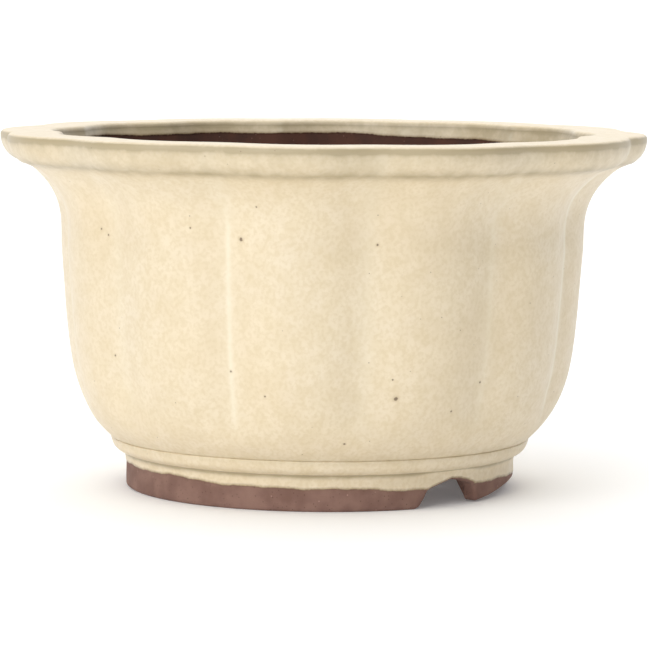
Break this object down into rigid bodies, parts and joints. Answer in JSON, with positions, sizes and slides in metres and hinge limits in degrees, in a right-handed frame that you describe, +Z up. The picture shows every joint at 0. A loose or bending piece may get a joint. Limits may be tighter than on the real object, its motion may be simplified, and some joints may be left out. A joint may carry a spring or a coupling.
{
  "type": "bonsai pot",
  "caption": "Round lobed bonsai pot with a flared flat lip, a rounded belly, a bead moulding and a notched foot ring, glazed cream over brown clay.",
  "frame": {"origin": "centre of the ring that the pot stands on, in its bottom plane", "axes": "+Z up along the pot's axis; +X through one of the two drainage notches; -Y towards the middle of a petal"},
  "size_m": [0.3432, 0.343, 0.192],
  "materials": {
    "cream_glaze": "satin gloss ivory glaze with fine brown specks",
    "bare_clay": "unglazed reddish brown stoneware"
  },
  "bodies": {
    "root": {"pot_wall": "cream_glaze", "rim_lip": "cream_glaze", "bead_band": "cream_glaze", "foot_ring": "bare_clay", "floor_slab": "bare_clay"}
  },
  "joints": []
}
